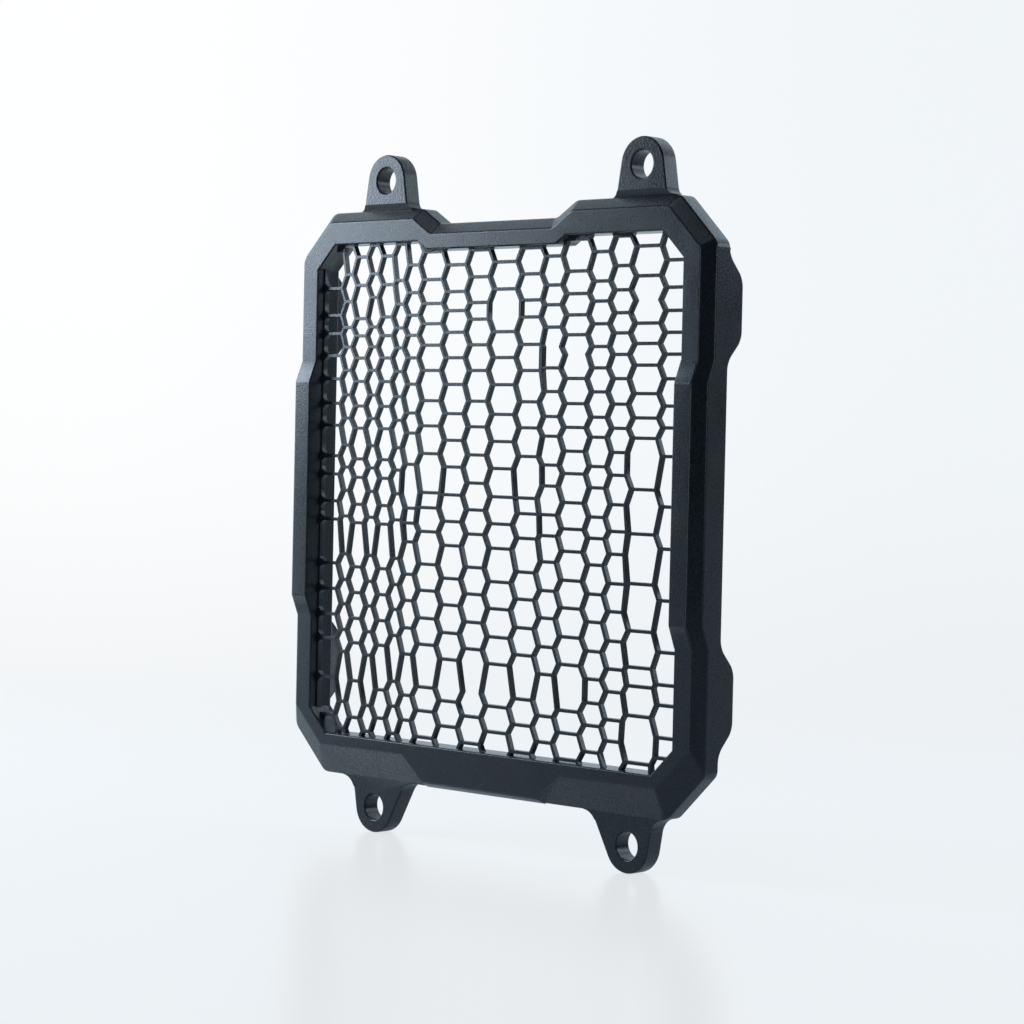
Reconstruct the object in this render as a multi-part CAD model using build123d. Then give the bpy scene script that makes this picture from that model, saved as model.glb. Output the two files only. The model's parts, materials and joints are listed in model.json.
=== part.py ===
from build123d import *
from itertools import cycle
from math import atan2, sqrt, tan
import os

os.makedirs("parts", exist_ok=True)

# Radiator guard, all in millimetres. X runs across, Y to the back, Z up.
# The origin is the centre of the four bolt holes, on the rear face of the ears.

# Mounting holes and ears
hole_spacing_x = 136.0
hole_spacing_z = 253.0
hole_d = 10.6
ear_r = 10.4
ear_root_w = 25.0
ear_fillet = 4.0
ear_dip = 1.2
ear_dip_h = 2.7
lower_flare = 5.5
lower_fillet = 7.0
same_spot = 0.1
frame_shift = -5.2
frame_lift = 1.4

# Opening of the frame
opening_w = 195.0
opening_h = 199.6
opening_cut = 10.0
opening_notch = 3.4
opening_notch_w = 69.0
lip = 0.6

# Front face, bevel and rim
side_rail = 8.4
top_rail = 9.0
bottom_band = 4.7
bevel = 4.3
bottom_slope = 11.9
corner_cut = 15.3
notch = 6.3
notch_w = 65.0
notch_run = 10.0
rim_depth = 12.0
front_r = 2.5
rim_r = 5.0

# Flat panel in the middle of the bottom rail
panel_w = 62.0
panel_run = 12.0
panel_h = 14.8
panel_draft = 25.0

# Raised length in the middle of each side rail
pad_len = 88.0
pad_rise = 3.5
pad_ramp = 8.5

# Wings behind the side rails
wing_mid = 71.5
wing_len = 22.4
wing_ramp = 8.3
wing_depth = 7.8
wing_thick = 9.0

# Honeycomb
mesh_back = 3.6
mesh_thick = 2.3
bar = 1.3
zigzag = 1.25
full_pull = 4.0
cell_cut = 1.6

# Cell heights that alternate columns share, downwards
left_odd = [9, 9.5, 10, 9, 12.5, 7.5, 11, 7.5, 18, 10.5, 10.5, 10]
left_even = [8, 9.5, 10, 9.5, 11, 9, 9.5, 10.5, 15.5, 10.5, 10, 10.5]
middle_odd = [10, 10.5, 11.5, 10.5, 10.5, 11, 10.5, 9.5]
middle_odd_foot = [13, 10.5, 11, 10.5, 16.5, 10]
middle_even = [10, 12, 10, 11]
middle_even_foot = [9.5, 13, 10.5, 11, 10.5]
right_odd = [8, 9, 9.5, 7.5, 11, 8, 11, 8, 10, 11, 10.5, 11, 10.5]
right_even = [9, 9.5, 9, 9, 8.5, 11, 10, 8.5, 11, 10.5, 11, 10.5]

# Columns from the left: the width, the drop from the top of the opening to the first bar and the
# heights of the cells. A minus marks a cell with no bar under it.
honeycomb = [
    (11.6, 2, [15.5, 11, 7.5, *left_odd, 16, 15.5]),
    (6.3, 0.5, [11.5, 11, 10.5, *left_even, 9, 20.5, 11]),
    (8.4, -5, [10, 11.5, 13.5, 7, *left_odd, 15.5, 15]),
    (6.6, 0.5, [11.5, 9.5, 12, *left_even, 9.5, 20.5, 10.5]),
    (8.4, -5, [10, 11.5, 13, 7.5, *left_odd, 18, 11.5]),
    (6.6, 0.5, [14.5, 9.5, 9.5, *left_even, 18.5, 10, 11]),
    (8.4, -1, [10, 11, 9, 8, 9, 10.5, 11.5, 8, 12.5, 17.5, 6, 7.5, *middle_odd_foot]),
    (13.0, 4, [11, 9.5, 8, 8.5, *middle_even, 15.5, 6, *middle_even_foot, 17, 9.5, 10.5]),
    (13.0, -1, [10.5, 10.5, 7.5, 8.5, *middle_odd, *middle_odd_foot]),
    (12.7, 4, [10.5, 10, 6.5, 10, *middle_even, 11, 10.5, *middle_even_foot, -17, 9.5, 10.5]),
    (14.7, -1, [10, 10.5, 16.5, *middle_odd, *middle_odd_foot]),
    (12.7, 4, [10, 10, 6.5, 10.5, *middle_even, 16, 6, *middle_even_foot, 17, 10, 10.5]),
    (10.8, -2.5, [10, 11, 7.5, 8.5, -7.5, *right_odd, 16, 10]),
    (13.5, 1.5, [12, 8.5, 8, 7.5, -7.5, *right_even, 17.5, 8.5, 10]),
    (10.7, -4, [10.5, 11, 7.5, 8.5, 8.5, *right_odd, 9, 8.5, 10]),
    (10.4, 1, [11, 9, 8.5, 7.5, 8, *right_even, 8.5, 10.5, 8]),
    (14.7, -4, [9, 11, -9, 8.5, 7.5, 8, 10.5, 9, 7.5, 19, 16.5, 18.5, 17.5, 13.5, 7, 11, 17.5]),
    (12.6, -1, [11.5, 10, 8.5, 8, 8, 9, 10, 8, 10.5, 18.5, 15.5, 19, 19, 12, 7.5, 12, 7.5]),
]

half_in = opening_w / 2
half_front = half_in + side_rail
half_out = half_front + bevel
top_in = opening_h / 2
top_front = top_in + top_rail
top_out = top_front + bevel
bottom_front = top_in + bottom_band
bottom_out = bottom_front + bottom_slope
front = -rim_depth
wall = front + bevel


def on(y):
    return Plane((0, y, 0), x_dir=(1, 0, 0), z_dir=(0, -1, 0))


def slab(face, y0, y1):
    return extrude(on(y0) * face, amount=y0 - y1)


def outline(half, top, bottom, cut, dip, dip_low, dip_high):
    right = [
        (half - cut, -bottom),
        (half, cut - bottom),
        (half, top - cut),
        (half - cut, top),
        (dip_high, top),
        (dip_low, top - dip),
    ]
    left = [(-x, z) for x, z in reversed(right)]
    return make_face(Polyline(right + left, close=True))


# Front face and rim, a bevel apart on every side but the bottom
outer_cut = corner_cut + (2 - sqrt(2)) * bevel
dip_in = notch_w / 2
dip_out = dip_in - bevel * tan(atan2(notch, notch_run) / 2)
dip_opening = opening_notch_w / 2
front_face = outline(half_front, top_front, bottom_front, corner_cut, notch, dip_in, dip_in + notch_run)
rim_face = outline(half_out, top_out, bottom_out, outer_cut, notch, dip_out, dip_out + notch_run)
opening = outline(half_in, top_in, top_in, opening_cut,
                  opening_notch, dip_opening, dip_opening + notch_run * opening_notch / notch)
front_face = fillet(front_face.vertices(), front_r)
rim_face = fillet(rim_face.vertices(), rim_r)

# Ears: a round end that widens to the rail, in one layer with the wall of the rim
layer = rim_face
holes = Sketch()
upper_roots = []
lower_roots = []
upper = (hole_spacing_z / 2 - frame_lift, top_out, 0, upper_roots)
lower = (-hole_spacing_z / 2 - frame_lift, -bottom_out, lower_flare, lower_roots)
for side in (-1, 1):
    x = side * hole_spacing_x / 2 - frame_shift
    for z, level, flare, roots in (upper, lower):
        outer_end = Vector(x + side * ear_root_w / 2, level)
        inner_end = Vector(x - side * (ear_root_w / 2 + flare), level)
        tip = Pos(x, z) * Circle(ear_r)
        layer += make_hull(tip.edges() + Line(outer_end, inner_end).edges())
        holes += Pos(x, z) * Circle(hole_d / 2)
        roots += [outer_end, inner_end]
layer = slab(layer - holes, wall, 0)


def round_roots(body, ends, radius):
    def at_root(edge):
        spot = Vector(edge.center().X, edge.center().Z)
        return min((spot - end).length for end in ends) < same_spot
    return fillet(body.edges().filter_by(Axis.Y).filter_by(at_root), radius)


layer = round_roots(layer, upper_roots, ear_fillet)
layer = round_roots(layer, lower_roots, lower_fillet)

# The foot of each upper ear slopes back where it meets the rail
dip = Polyline((wall, top_out), (wall + ear_dip, top_out), (wall, top_out + ear_dip_h), close=True)
layer -= extrude(Plane.YZ * make_face(dip), amount=half_out, both=True)

frame = loft([on(front) * front_face, on(wall) * rim_face], ruled=True) + layer

# Panel: a flat trapezoid, drafted back to the underside of the bottom rail
foot = -top_in - panel_h
half_panel = panel_w / 2
end_panel = half_panel + panel_run
panel = Polyline((-end_panel, -bottom_front), (-half_panel, foot), (half_panel, foot),
                 (end_panel, -bottom_front), (end_panel, -top_in), (-end_panel, -top_in), close=True)
frame += extrude(on(front) * make_face(panel), amount=-bevel, taper=-panel_draft)

# Opening with a small chamfer on its front edge
frame -= slab(opening, front, 0)
frame -= extrude(on(front) * offset(opening, lip), amount=-lip, taper=45)


# Raised length of each side rail: the rail's own section, led up, along and down again
def rail(z, rise):
    section = Polyline((half_in, front - rise), (half_front, front - rise), (half_out, wall - rise),
                       (half_out, 0), (half_in, 0), close=True)
    return Pos(0, 0, z) * make_face(section)


half_pad = pad_len / 2
foot_pad = half_pad + pad_ramp
pad = [rail(-foot_pad, 0), rail(-half_pad, pad_rise), rail(half_pad, pad_rise), rail(foot_pad, 0)]
pad = loft(pad, ruled=True)

# Wings: flat tabs with sloping ends on the rear of the side rails
half_wing = wing_len / 2
foot_wing = half_wing + wing_ramp
wing = make_face(Polyline((wall, -foot_wing), (0, -foot_wing), (wing_depth, -half_wing),
                          (wing_depth, half_wing), (0, foot_wing), (wall, foot_wing), close=True))
wing = extrude(Plane((half_out, 0, wing_mid), x_dir=(0, 1, 0), z_dir=(1, 0, 0)) * wing, amount=-wing_thick)

flank = pad + wing + mirror(wing, about=Plane.XY)
frame += flank
frame += mirror(flank, about=Plane.YZ)


# Honeycomb: columns of cells between zigzag uprights
def read(drop, heights):
    level = top_in - drop
    corners = [level]
    bars = [level]
    for height in cycle(heights):
        if bars[-1] < -top_in:
            return corners, bars
        level -= abs(height)
        corners.append(level)
        if height > 0:
            bars.append(level)


edges = [-half_in]
columns = []
for width, drop, heights in cycle(honeycomb):
    if edges[-1] > half_in - bar:
        break
    edges.append(edges[-1] + width)
    columns.append(read(drop, heights))


# An upright leans to each column in turn, where that column's bars meet it, and less where both meet it
def leaning(line):
    left = columns[line - 1][0] if line > 0 else []
    right = columns[line][0] if line < len(columns) else []
    lean = {}
    for pull, own, other in ((-1, left, right), (1, right, left)):
        for z in own:
            gap = min((abs(z - rival) for rival in other), default=0)
            lean[z] = pull * zigzag * min(1, gap / full_pull)
    return lean


leans = [leaning(line) for line in range(len(edges))]


def upright(line, low, high):
    between = sorted(z for z in leans[line] if low + bar < z < high - bar)
    return [Vector(edges[line] + leans[line][z], z) for z in [low, *between, high]]


# A cell's outline, counter-clockwise, with every side moved in by half a bar
def inset(points):
    inner = []
    for before, point, after in zip(points[-1:] + points[:-1], points, points[1:] + points[:1]):
        one = (point - before).normalized().rotate(Axis.Z, 90)
        two = (after - point).normalized().rotate(Axis.Z, 90)
        inner.append(point + (one + two) * (bar / 2 / (1 + one.dot(two))))
    return inner


cells = []
for column, (corners, bars) in enumerate(columns):
    for high, low in zip(bars, bars[1:]):
        left = upright(column, low, high)
        right = upright(column + 1, low, high)
        cell = make_face(Polyline(inset(right + left[::-1]), close=True))
        if column == 0:
            cell = chamfer(cell.vertices().group_by(Axis.X)[0], cell_cut)
        cells.append(cell)
mesh = offset(opening, bar) - cells
mesh = slab(mesh, front + mesh_back, front + mesh_back + mesh_thick)

guard = Pos(frame_shift, 0, frame_lift) * (frame + mesh)
export_step(guard, "parts/radiator_guard.step")
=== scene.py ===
import bpy
import bmesh
import json
from math import cos, pi, radians, sin
from mathutils import Matrix, Vector


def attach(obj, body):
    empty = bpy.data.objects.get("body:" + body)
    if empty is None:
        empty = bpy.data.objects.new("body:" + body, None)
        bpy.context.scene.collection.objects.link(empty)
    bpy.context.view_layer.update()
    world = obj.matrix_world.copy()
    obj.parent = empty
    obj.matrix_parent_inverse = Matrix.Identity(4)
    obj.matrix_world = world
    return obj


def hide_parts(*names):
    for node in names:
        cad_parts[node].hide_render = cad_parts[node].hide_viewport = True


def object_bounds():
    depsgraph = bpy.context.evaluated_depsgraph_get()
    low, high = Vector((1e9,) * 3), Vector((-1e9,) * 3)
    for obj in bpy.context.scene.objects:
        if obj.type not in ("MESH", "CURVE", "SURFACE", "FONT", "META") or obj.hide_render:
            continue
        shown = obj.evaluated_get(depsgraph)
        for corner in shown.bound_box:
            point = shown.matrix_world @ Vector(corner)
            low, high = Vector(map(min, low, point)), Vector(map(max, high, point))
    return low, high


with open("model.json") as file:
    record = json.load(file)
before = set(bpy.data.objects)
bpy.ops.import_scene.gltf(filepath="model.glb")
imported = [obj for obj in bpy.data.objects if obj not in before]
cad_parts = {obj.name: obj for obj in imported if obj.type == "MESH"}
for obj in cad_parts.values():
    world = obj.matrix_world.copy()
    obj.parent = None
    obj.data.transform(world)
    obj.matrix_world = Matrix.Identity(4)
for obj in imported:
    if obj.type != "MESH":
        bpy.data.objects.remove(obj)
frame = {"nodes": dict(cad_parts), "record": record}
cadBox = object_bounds()
lowest, highest = cadBox
print("frame loaded, box", [round(v, 4) for v in lowest], [round(v, 4) for v in highest])


def addNode(tree, kind, inputs=None, **settings):
    node = tree.nodes.new(kind)
    for name, value in settings.items():
        setattr(node, name, value)
    for name, value in (inputs or {}).items():
        node.inputs[name].default_value = value
    return node


def newMaterial(name):
    material = bpy.data.materials.new(name)
    material.use_nodes = True
    tree = material.node_tree
    shader = tree.nodes["Principled BSDF"]
    return material, tree, shader


def addObject(name, data):
    thing = bpy.data.objects.new(name, data)
    bpy.context.scene.collection.objects.link(thing)
    return thing


def settledMesh(thing):      # the mesh as its modifiers leave it, without the object
    depsgraph = bpy.context.evaluated_depsgraph_get()
    mesh = bpy.data.meshes.new_from_object(thing.evaluated_get(depsgraph))
    bpy.data.objects.remove(thing)
    return mesh


# moulded black plastic with a fine spark-eroded grain
grain = {
    "dark": (0.0030, 0.0045, 0.0060, 1),
    "light": (0.0220, 0.0280, 0.0350, 1),
    "tint": (0.35, 0.68),     # where in the specks the dark ends and the light begins
    "speck": {"Scale": 1500, "Detail": 2, "Roughness": 0.5},      # specks per metre
    "patch": {"Scale": 60, "Detail": 4, "Roughness": 0.55},       # slow changes of gloss
    "gloss": {"From Min": 0.3, "From Max": 0.7, "To Min": 0.22, "To Max": 0.28},
    "pits": {"From Min": 0.4, "From Max": 0.65, "To Min": 0.06, "To Max": 0},    # specks are duller
    "bump": {"Strength": 0.4, "Distance": 0.00016},               # m
    "specular": 0.5,
}


def grainedPlastic():
    material, tree, shader = newMaterial("texturedBlack")
    place = addNode(tree, "ShaderNodeTexCoord")
    speck = addNode(tree, "ShaderNodeTexNoise", grain["speck"])
    patch = addNode(tree, "ShaderNodeTexNoise", grain["patch"])
    for noise in (speck, patch):
        tree.links.new(place.outputs["Object"], noise.inputs["Vector"])
    tint = addNode(tree, "ShaderNodeValToRGB")
    for stop, position, name in zip(tint.color_ramp.elements, grain["tint"], ("dark", "light")):
        stop.position = position
        stop.color = grain[name]
    tree.links.new(speck.outputs["Fac"], tint.inputs["Fac"])
    tree.links.new(tint.outputs["Color"], shader.inputs["Base Color"])
    gloss = addNode(tree, "ShaderNodeMapRange", grain["gloss"])
    tree.links.new(patch.outputs["Fac"], gloss.inputs["Value"])
    pits = addNode(tree, "ShaderNodeMapRange", grain["pits"])
    tree.links.new(speck.outputs["Fac"], pits.inputs["Value"])
    rough = addNode(tree, "ShaderNodeMath", operation="ADD")
    tree.links.new(gloss.outputs["Result"], rough.inputs[0])
    tree.links.new(pits.outputs["Result"], rough.inputs[1])
    tree.links.new(rough.outputs["Value"], shader.inputs["Roughness"])
    bump = addNode(tree, "ShaderNodeBump", grain["bump"])
    tree.links.new(speck.outputs["Fac"], bump.inputs["Height"])
    tree.links.new(bump.outputs["Normal"], shader.inputs["Normal"])
    shader.inputs["Specular IOR Level"].default_value = grain["specular"]
    return material


# the guard: its own solid, welded, with the edges eased as a mould leaves them
guard = {
    "node": "radiator_guard",
    "slot": "textured_black",
    "weld": 2e-6,             # m
    "flat": 0.5,              # degrees, faces that turn less become one
    "sharp": 17,              # degrees, edges that turn more are eased
    "frameEase": 0.0006,      # m, edges of the frame and ears
    "upperRoots": (0.1146, 0.1174),      # m, heights where the ears' feet keep their edges
    "lowerRoots": (-0.1197, -0.11503),
    "wingInset": 0.005,       # m from the sides, the wings' inner edges stay as they are
    "barEase": 0.00015,       # m, edges of the grille's bars
    "barSide": 0.0115,        # m, the grille starts this far in from the sides
    "barEnd": 0.103,          # m, and ends this far above and below the middle
    "spare": 2.2,             # a run of edges is eased where its faces are this many eases wide
    "straight": 30,           # degrees, edges that turn less are one run
    "steps": 2,
    "wingRound": 0.003,       # m, outer corners of the wings
    "wingFoot": 0.003,        # m, where a wing leaves the rail
    "wingSlope": (0.1, 0.9),  # upward part of the normal on a wing's sloping end
    "wingSteps": 5,
    "crease": 40,             # degrees, sharper edges keep a hard shade
    "flatFirst": 100,         # large faces keep their own shade
}


def grilleDepths():
    boxes = {box["name"]: box["box_m"] for box in frame["record"]["physics"]["openings"]}
    ahead = boxes["front_recess"][1][1]
    behind = boxes["rear_recess"][0][1]
    return ahead, behind


def roundWings(solid):
    weld = guard["weld"]
    least, most = guard["wingSlope"]

    def sloping(face):
        return least < abs(face.normal.z) < most and abs(face.normal.x) < least

    rear = max(corner.co.y for corner in solid.verts)
    for depth, size in ((rear, guard["wingRound"]), (0, guard["wingFoot"])):
        edges = []
        for edge in solid.edges:
            one, two = (corner.co for corner in edge.verts)
            across = abs(one.z - two.z) < weld and abs(one.y - two.y) < weld
            slopes = [face for face in edge.link_faces if sloping(face)]
            if across and abs(one.y - depth) < weld and len(slopes) == 1 and slopes[0].normal.y > least:
                edges.append(edge)
        bmesh.ops.bevel(solid, geom=edges, offset=size, segments=guard["wingSteps"], profile=0.5,
                        affect="EDGES")
        print("wing edges rounded:", len(edges))


def faceRoom(edge, face):     # how far the face reaches from the middle of its edge
    room, parallel, touching, slack = 1.0, 1e-12, 1e-7, 0.01
    start, end = (corner.co for corner in edge.verts)
    middle = (start + end) / 2
    inward = face.normal.cross((end - start).normalized())
    if inward.dot(face.calc_center_median() - middle) < 0:
        inward = -inward
    for other in face.edges:
        if other is edge:
            continue
        one, two = (corner.co for corner in other.verts)
        side = inward.cross(two - one).dot(face.normal)
        if abs(side) < parallel:
            continue
        reach = (one - middle).cross(two - one).dot(face.normal) / side
        share = (one - middle).cross(inward).dot(face.normal) / side
        if reach > touching and -slack <= share <= 1 + slack:
            room = min(room, reach)
    return room


def edgeRuns(edges):          # edges that go on from each other, kept together
    runs = {edge: [edge] for edge in edges}
    turn = -cos(radians(guard["straight"]))
    for corner in {corner for edge in edges for corner in edge.verts}:
        meeting = [edge for edge in corner.link_edges if edge in runs]
        ways = [(edge.other_vert(corner).co - corner.co).normalized() for edge in meeting]
        for i in range(len(meeting)):
            for j in range(i):
                one, two = runs[meeting[i]], runs[meeting[j]]
                if one is not two and ways[i].dot(ways[j]) < turn:
                    one.extend(two)
                    for edge in two:
                        runs[edge] = one
    return list({id(run): run for run in runs.values()}.values())


def runRoom(run):             # the room that half the length of the run has at most
    rooms = []
    for edge in run:
        room = min(faceRoom(edge, face) for face in edge.link_faces)
        rooms.append((room, edge.calc_length()))
    rooms.sort()
    half = sum(length for room, length in rooms) / 2
    passed = 0
    for room, length in rooms:
        passed += length
        if passed >= half:
            break
    return room


def easedEdges(solid):
    ahead, behind = grilleDepths()
    left, right = lowest[0] + guard["barSide"], highest[0] - guard["barSide"]
    innerLeft, innerRight = lowest[0] + guard["wingInset"], highest[0] - guard["wingInset"]
    sharp = radians(guard["sharp"])

    def onBars(corner):
        across, depth, up = corner.co
        return ahead < depth < behind and left < across < right and abs(up) < guard["barEnd"]

    def onRoot(edge):
        far = max((corner.co.z for corner in edge.verts), key=abs)
        inFront = all(corner.co.y < -guard["frameEase"] for corner in edge.verts)
        return inFront and any(low < far < high for low, high in (guard["upperRoots"], guard["lowerRoots"]))

    def insideWing(edge):
        inside = all(innerLeft < corner.co.x < innerRight for corner in edge.verts)
        return inside and any(corner.co.y > guard["weld"] for corner in edge.verts)

    wanted = {}
    for edge in solid.edges:
        if len(edge.link_faces) != 2 or not edge.is_convex or edge.calc_face_angle() < sharp:
            continue
        if all(onBars(corner) for corner in edge.verts):
            faces = {face for corner in edge.verts for face in corner.link_faces}
            if all(onBars(corner) for face in faces for corner in face.verts):    # clear of the frame
                wanted[edge] = guard["barEase"]
        elif not onRoot(edge) and not insideWing(edge):
            wanted[edge] = guard["frameEase"]
    eased = {}
    for run in edgeRuns(wanted):
        size = min(wanted[edge] for edge in run)
        if runRoom(run) >= guard["spare"] * size:
            eased.update({edge: size for edge in run})
    return eased


def weighedMesh(material):    # a welded copy of the solid, its edges weighed by how much they are eased
    mesh = frame["nodes"][guard["node"]].data.copy()
    mesh.materials.clear()
    mesh.materials.append(material)
    solid = bmesh.new()
    solid.from_mesh(mesh)
    bmesh.ops.remove_doubles(solid, verts=solid.verts, dist=guard["weld"])
    bmesh.ops.dissolve_limit(solid, angle_limit=radians(guard["flat"]), verts=solid.verts, edges=solid.edges)
    roundWings(solid)
    solid.normal_update()
    weight = solid.edges.layers.float.new("bevel_weight_edge")
    eased = easedEdges(solid)
    for edge, size in eased.items():
        edge[weight] = size / guard["frameEase"]
    print("edges to ease:", len(eased))
    solid.to_mesh(mesh)
    solid.free()
    mesh.shade_smooth()
    return mesh


def bevelledMesh(mesh):
    rough = addObject("guardRough", mesh)
    ease = rough.modifiers.new("ease", "BEVEL")
    ease.limit_method = "WEIGHT"
    ease.width = guard["frameEase"]
    ease.segments = guard["steps"]
    ease.use_clamp_overlap = False
    ease.loop_slide = False
    shell = settledMesh(rough)
    solid = bmesh.new()
    solid.from_mesh(shell)
    bmesh.ops.remove_doubles(solid, verts=solid.verts, dist=guard["weld"])
    bmesh.ops.dissolve_degenerate(solid, dist=guard["weld"], edges=solid.edges)
    solid.to_mesh(shell)
    solid.free()
    return shell


def easedGuard(material):
    shell = bevelledMesh(weighedMesh(material))
    shell.set_sharp_from_angle(angle=radians(guard["crease"]))
    soft = addObject("guardSoft", shell)
    even = soft.modifiers.new("even", "WEIGHTED_NORMAL")
    even.keep_sharp = True
    even.weight = guard["flatFirst"]
    shell = settledMesh(soft)
    shell.name = "guardShell"
    piece = addObject("guardShell", shell)
    shell.calc_loop_triangles()
    print("guard eased,", len(shell.loop_triangles), "triangles")
    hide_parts(guard["node"])
    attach(piece, "root")


easedGuard(grainedPlastic())

# camera, from the photograph's own view
view = {
    "place": (0.74837, -0.79179, 0.02615),   # m
    "yaw": 43.43,             # degrees
    "pitch": -1.63,
    "roll": 1.25,
    "lens": 98.4,             # mm
    "sensor": 36,             # mm
    "shift": (-0.0005, 0.0005),
}


def photoCamera():
    data = bpy.data.cameras.new("photoCamera")
    data.lens = view["lens"]
    data.sensor_width = view["sensor"]
    data.shift_x, data.shift_y = view["shift"]
    camera = addObject("photoCamera", data)
    turn = (Matrix.Rotation(radians(view["yaw"]), 4, "Z")
            @ Matrix.Rotation(radians(90 + view["pitch"]), 4, "X")
            @ Matrix.Rotation(radians(view["roll"]), 4, "Z"))
    camera.matrix_world = Matrix.Translation(view["place"]) @ turn
    bpy.context.scene.camera = camera


photoCamera()
print("camera set")

# white sweep: a floor that curves up into a wall, square to the camera
sweep = {
    "front": -3.0,            # m from the object, towards the camera
    "back": 1.5,
    "side": 3.0,
    "height": 2.0,
    "curve": 0.8,
    "curveSteps": 16,
    "colour": (0.10, 0.10, 0.10, 1),
    "shine": (0.13, 0.13, 0.13, 1),    # how much of the object it mirrors
    "dull": (0, 0, 0, 1),              # and of anything further back
    "mirror": (0.1, 1.0),     # m of depth over which the one turns into the other
    "rough": 0.24,
    "dim": (0.23, 0.30, 0.355, 1),     # what it sheds on the object from in front
    "bright": (0.75, 0.90, 1.0, 1),    # and from behind
    "turn": (0, 0.4),         # m of depth over which the one turns into the other
    "dark": (0, 0, 0, 1),              # what it sheds from further in front
    "start": (-0.8, -0.4),    # m of depth over which it begins to shed any
    "glowNearShaded": (0.705, 0.715, 0.725, 1),  # what the camera sees in front: the sweep's glow, darker here as painted shade
    "glowFarLeftLit": (0.97, 0.97, 0.97, 1),  # and behind, painted lighter; the right side is painted a darker blue shade
    "glowFarRightShaded": (0.85, 0.88, 0.905, 1),
    "fade": (0.1, 1.4),       # m of depth over which the one turns into the other
    "across": (-0.4, 0.4),    # m from the left tone to the right one
}


def sweepMesh(turn):
    profile = [(sweep["front"], 0), (sweep["back"] - sweep["curve"], 0)]
    for step in range(1, sweep["curveSteps"] + 1):
        angle = step / sweep["curveSteps"] * pi / 2
        along = sweep["back"] - sweep["curve"] * (1 - sin(angle))
        profile.append((along, sweep["curve"] * (1 - cos(angle))))
    profile.append((sweep["back"], sweep["height"]))
    corners = []
    for along, up in profile:
        for across in (-sweep["side"], sweep["side"]):
            corners.append(turn @ Vector((across, along, up)) + Vector((0, 0, lowest[2])))
    faces = [(2 * i, 2 * i + 1, 2 * i + 3, 2 * i + 2) for i in range(len(profile) - 1)]
    mesh = bpy.data.meshes.new("whiteSweep")
    mesh.from_pydata(corners, [], faces)
    mesh.shade_smooth()
    return mesh


def blend(tree, along, reach, first, last):
    share = addNode(tree, "ShaderNodeMapRange", {"From Min": reach[0], "From Max": reach[1]},
                    interpolation_type="SMOOTHSTEP")
    tree.links.new(along.outputs["Value"], share.inputs["Value"])
    mix = addNode(tree, "ShaderNodeMixRGB", {"Color1": first})
    if isinstance(last, tuple):
        mix.inputs["Color2"].default_value = last
    else:
        tree.links.new(last.outputs["Color"], mix.inputs["Color2"])
    tree.links.new(share.outputs["Result"], mix.inputs["Fac"])
    return mix


def sweepPaint(turn):
    material, tree, shader = newMaterial("sweepWhite")
    shader.inputs["Base Color"].default_value = sweep["colour"]
    shader.inputs["Specular IOR Level"].default_value = 0
    shader.inputs["Emission Strength"].default_value = 1
    shine = addNode(tree, "ShaderNodeBsdfGlossy", {"Roughness": sweep["rough"]})
    both = addNode(tree, "ShaderNodeAddShader")
    tree.links.new(shader.outputs["BSDF"], both.inputs[0])
    tree.links.new(shine.outputs["BSDF"], both.inputs[1])
    tree.links.new(both.outputs["Shader"], tree.nodes["Material Output"].inputs["Surface"])
    place = addNode(tree, "ShaderNodeTexCoord")
    across = addNode(tree, "ShaderNodeVectorMath", operation="DOT_PRODUCT")
    across.inputs[1].default_value = turn @ Vector((1, 0, 0))
    depth = addNode(tree, "ShaderNodeVectorMath", operation="DOT_PRODUCT")
    depth.inputs[1].default_value = turn @ Vector((0, 1, 0))
    for way in (across, depth):
        tree.links.new(place.outputs["Object"], way.inputs[0])
    # the camera sees the sweep's glow with painted light and shade: darker in front, lighter behind,
    # brighter on the left than on the right
    far = blend(tree, across, sweep["across"], sweep["glowFarLeftLit"], sweep["glowFarRightShaded"])
    seen = blend(tree, depth, sweep["fade"], sweep["glowNearShaded"], far)
    shed = blend(tree, depth, sweep["turn"], sweep["dim"], sweep["bright"])
    shed = blend(tree, depth, sweep["start"], sweep["dark"], shed)
    mirror = blend(tree, depth, sweep["mirror"], sweep["shine"], sweep["dull"])
    tree.links.new(mirror.outputs["Color"], shine.inputs["Color"])
    ray = addNode(tree, "ShaderNodeLightPath")
    glow = addNode(tree, "ShaderNodeMixRGB")
    tree.links.new(ray.outputs["Is Camera Ray"], glow.inputs["Fac"])
    tree.links.new(shed.outputs["Color"], glow.inputs["Color1"])
    tree.links.new(seen.outputs["Color"], glow.inputs["Color2"])
    tree.links.new(glow.outputs["Color"], shader.inputs["Emission Color"])
    return material


def whiteSweep():
    turn = Matrix.Rotation(radians(view["yaw"]), 3, "Z")
    mesh = sweepMesh(turn)
    mesh.materials.append(sweepPaint(turn))
    addObject("whiteSweep", mesh)


whiteSweep()
print("sweep set")

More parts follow.
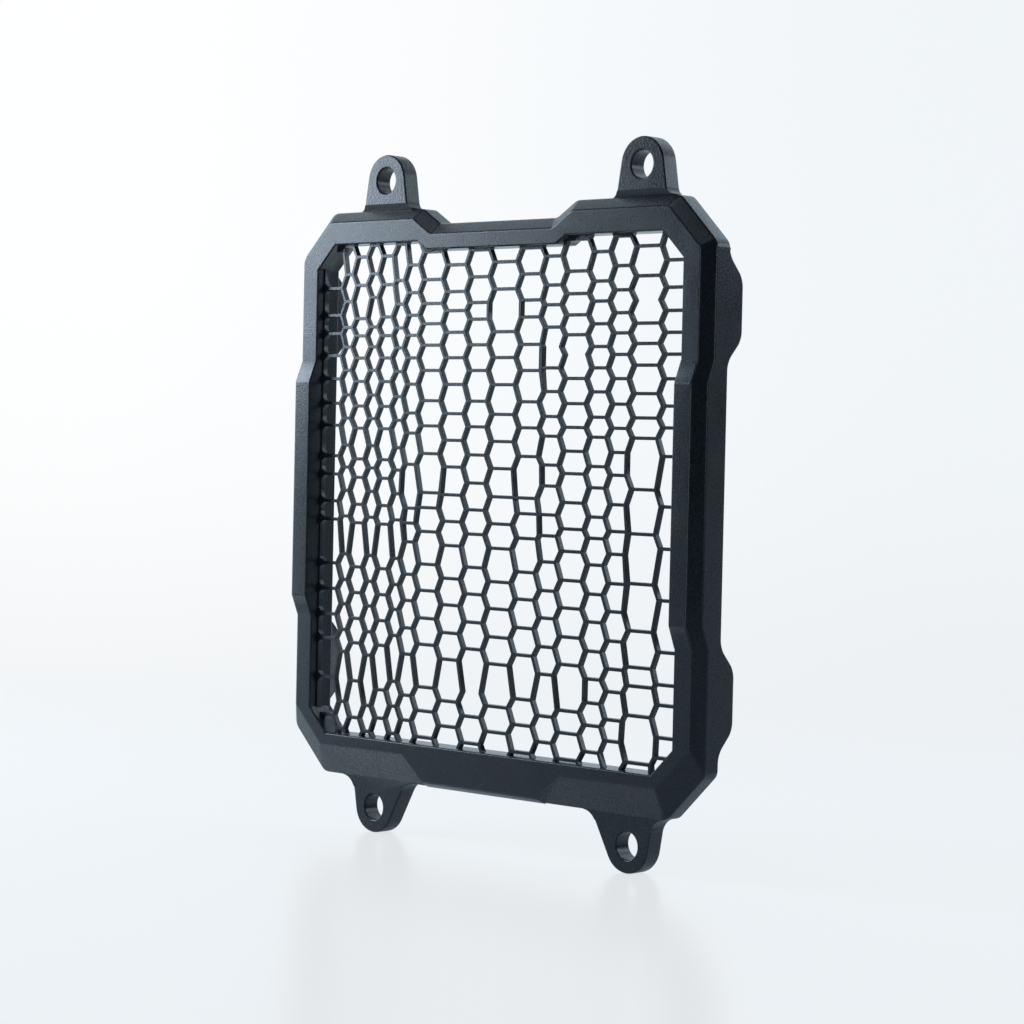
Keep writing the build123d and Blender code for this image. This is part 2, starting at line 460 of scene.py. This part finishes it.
# soft boxes round the object: degrees left of its front, degrees up, metres away, size and watts
lights = {
    "key": {"left": 59.5, "up": 18, "away": 0.75, "size": (0.32, 0.36), "power": 3.2},
    "low": {"left": 60, "up": -8, "away": 0.75, "size": (0.26, 0.12), "power": 0.13},
    "side": {"left": 86, "up": 12, "away": 0.75, "size": (0.3, 0.4), "power": 0.4},
    "crown": {"left": 100, "up": 48, "away": 1.0, "size": (0.4, 0.4), "power": 0.44},
    "rim": {"left": 53, "up": 32, "away": 0.9, "size": (0.15, 0.12), "power": 0.18},
    "roof": {"left": 8, "up": 65, "away": 1.2, "size": (0.8, 0.5), "power": 1.2},
    "front": {"left": 0, "up": 4, "away": 1.2, "size": (0.25, 0.5), "power": 1.2},
    "flank": {"left": -90, "up": 11, "away": 1.2, "size": (0.2, 0.25), "power": 0.8},
    "right": {"left": -139, "up": 21, "away": 1.2, "size": (0.8, 0.35), "power": 2.2},
    "rear": {"left": -165, "up": 42, "away": 1.3, "size": (0.9, 0.5), "power": 1.5},
}
lightColour = (0.83, 1.0, 1.17)
ambient = {
    "colour": (0.80, 0.90, 1.0, 1),
    "strength": 0.04,         # what it lights with
    "seen": 0.95,             # what shows beyond the sweep
}


def softBoxes():
    for name, light in lights.items():
        data = bpy.data.lights.new(name, "AREA")
        data.shape = "RECTANGLE"
        data.size, data.size_y = light["size"]
        data.energy = light["power"]
        data.color = lightColour
        lamp = addObject(name, data)
        lamp.visible_camera = False
        left, up = radians(light["left"]), radians(light["up"])
        towards = Vector((-sin(left) * cos(up), -cos(left) * cos(up), sin(up)))
        lamp.location = towards * light["away"]
        lamp.rotation_euler = towards.to_track_quat("Z", "Y").to_euler()


def paleWorld():
    world = bpy.data.worlds.new("studio")
    world.use_nodes = True
    tree = world.node_tree
    back = tree.nodes["Background"]
    back.inputs["Color"].default_value = ambient["colour"]
    ray = addNode(tree, "ShaderNodeLightPath")
    power = addNode(tree, "ShaderNodeMapRange", {"To Min": ambient["strength"], "To Max": ambient["seen"]})
    tree.links.new(ray.outputs["Is Camera Ray"], power.inputs["Value"])
    tree.links.new(power.outputs["Result"], back.inputs["Strength"])
    bpy.context.scene.world = world
    bpy.context.scene.view_settings.view_transform = "Standard"


softBoxes()
paleWorld()
print("lights set")
